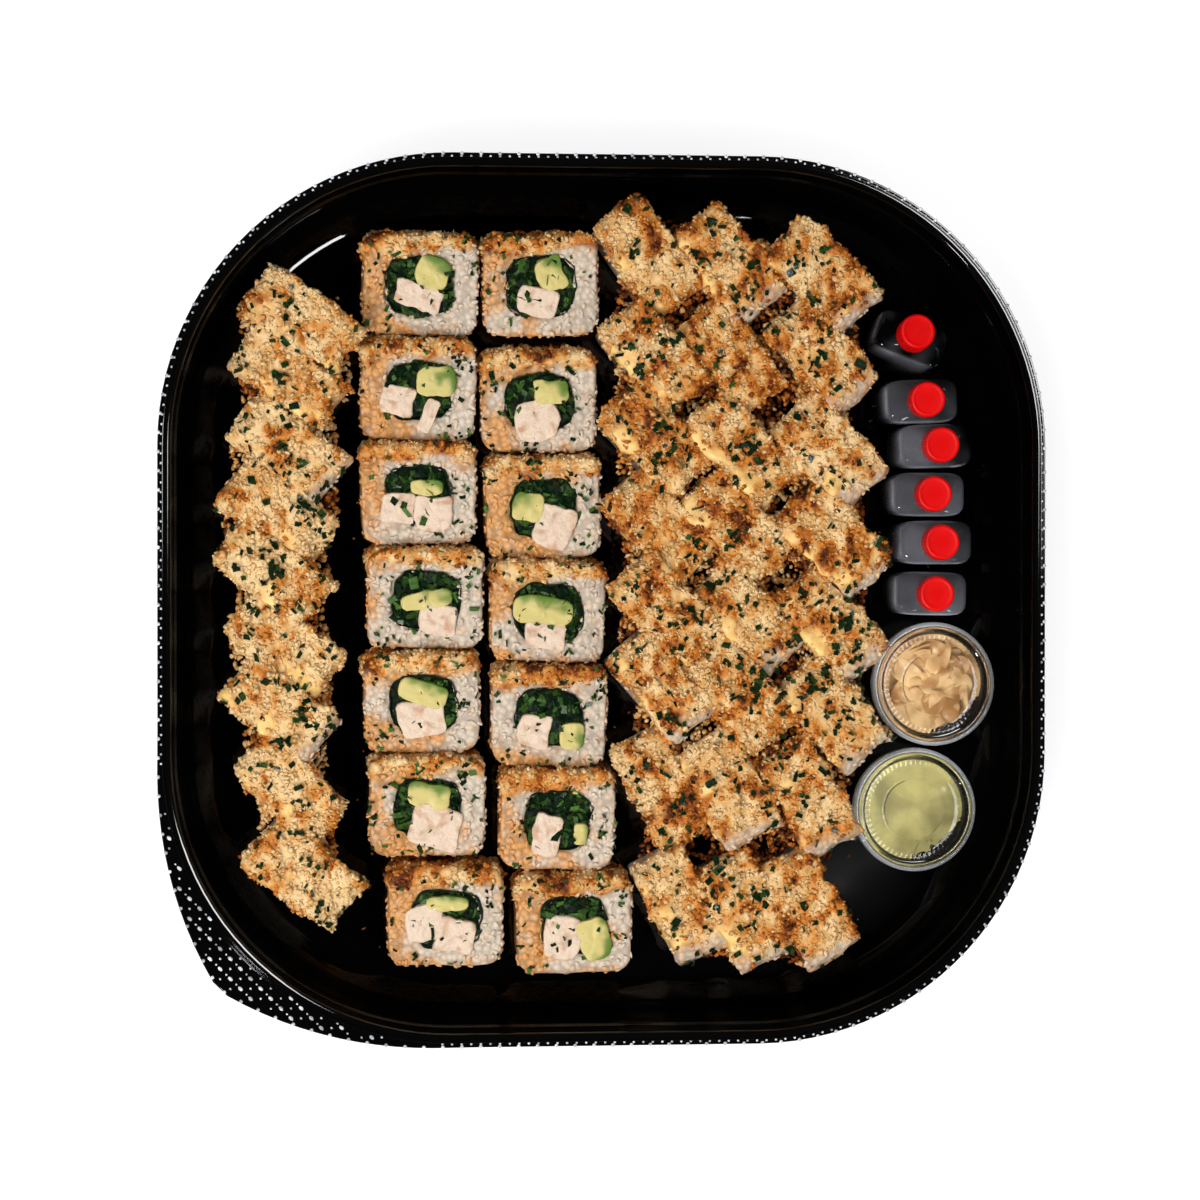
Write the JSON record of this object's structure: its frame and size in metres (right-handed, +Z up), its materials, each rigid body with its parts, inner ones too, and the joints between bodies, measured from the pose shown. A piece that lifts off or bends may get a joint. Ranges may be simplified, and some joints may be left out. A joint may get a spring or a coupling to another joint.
{
  "type": "takeaway sushi tray",
  "caption": "Black rounded-square takeaway tray filled with crumbed sushi rolls, small sauce bottles and lidded dip pots.",
  "frame": {"origin": "middle of the tray's base, on the surface that it stands on", "axes": "+X to the tray's right, +Y to its back, +Z up; the lifting tab is at the front left corner"},
  "size_m": [0.3401, 0.3401, 0.052],
  "materials": {
    "black_plastic": "glossy black plastic, flange and tab embossed with a fine weave",
    "toasted_crumb": "food: rice roll under a toasted crumb crust with herb flakes",
    "rice_and_filling": "food: cut rice roll with chicken, avocado and chopped leaves",
    "sauce_bottle": "clear bottle of dark sauce with a red cap",
    "clear_plastic": "clear thin plastic",
    "pickled_ginger": "food: moist sliced ginger",
    "wasabi_paste": "food: smooth paste"
  },
  "bodies": {
    "root": {"tray": "black_plastic", "roll_a1": "toasted_crumb", "roll_a2": "toasted_crumb", "roll_a3": "toasted_crumb", "roll_a4": "toasted_crumb", "roll_a5": "toasted_crumb", "roll_a6": "toasted_crumb", "roll_a7": "toasted_crumb", "roll_a8": "toasted_crumb", "roll_a9": "toasted_crumb", "roll_d1": "toasted_crumb", "roll_e1": "toasted_crumb", "roll_f1": "toasted_crumb", "roll_d2": "toasted_crumb", "roll_e2": "toasted_crumb", "roll_f2": "toasted_crumb", "roll_d3": "toasted_crumb", "roll_e3": "toasted_crumb", "roll_f3": "toasted_crumb", "roll_d4": "toasted_crumb", "roll_e4": "toasted_crumb", "roll_f4": "toasted_crumb", "roll_d5": "toasted_crumb", "roll_e5": "toasted_crumb", "roll_f5": "toasted_crumb", "roll_d6": "toasted_crumb", "roll_e6": "toasted_crumb", "roll_f6": "toasted_crumb", "roll_d7": "toasted_crumb", "roll_e7": "toasted_crumb", "roll_f7": "toasted_crumb", "roll_d8": "toasted_crumb", "roll_e8": "toasted_crumb", "roll_f8": "toasted_crumb", "roll_b1": "rice_and_filling", "roll_b2": "rice_and_filling", "roll_b3": "rice_and_filling", "roll_b4": "rice_and_filling", "roll_b5": "rice_and_filling", "roll_b6": "rice_and_filling", "roll_b7": "rice_and_filling", "roll_c1": "rice_and_filling", "roll_c2": "rice_and_filling", "roll_c3": "rice_and_filling", "roll_c4": "rice_and_filling", "roll_c5": "rice_and_filling", "roll_c6": "rice_and_filling", "roll_c7": "rice_and_filling", "soy_bottle_1": "sauce_bottle", "soy_bottle_2": "sauce_bottle", "soy_bottle_3": "sauce_bottle", "soy_bottle_4": "sauce_bottle", "soy_bottle_5": "sauce_bottle", "soy_bottle_6": "sauce_bottle", "ginger_cup": "clear_plastic", "ginger_lid": "clear_plastic", "wasabi_cup": "clear_plastic", "wasabi_lid": "clear_plastic", "ginger_contents": "pickled_ginger", "wasabi_contents": "wasabi_paste"}
  },
  "joints": []
}
